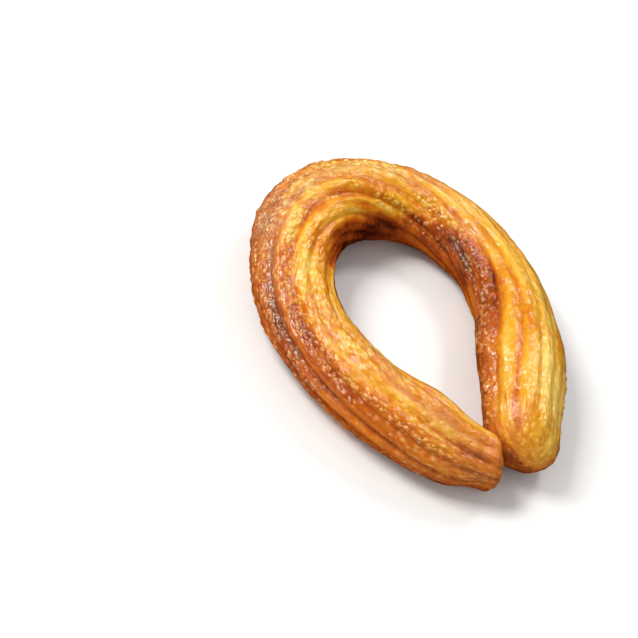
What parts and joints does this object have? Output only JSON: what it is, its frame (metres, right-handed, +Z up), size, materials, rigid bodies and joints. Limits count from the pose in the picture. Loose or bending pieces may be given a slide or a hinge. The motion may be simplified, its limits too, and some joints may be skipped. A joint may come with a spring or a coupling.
{
  "type": "churro",
  "caption": "Ring churro: one star-piped rope of fried dough with rounded ridges, bent into a teardrop loop whose two ends meet, deep-fried and glossy with syrup.",
  "frame": {"origin": "on the resting surface, below the middle of the loop's bounding box", "axes": "+Z up, through the thin way of the flat-lying loop; +Y along the loop's long axis, from the meeting ends towards the bend; +X to the side of the last-piped arm"},
  "size_m": [0.082, 0.1074, 0.0248],
  "materials": {
    "glazed_crust": "deep-fried golden to orange-brown dough under a wet syrup gloss"
  },
  "bodies": {
    "root": {"churro": "glazed_crust"}
  },
  "joints": []
}
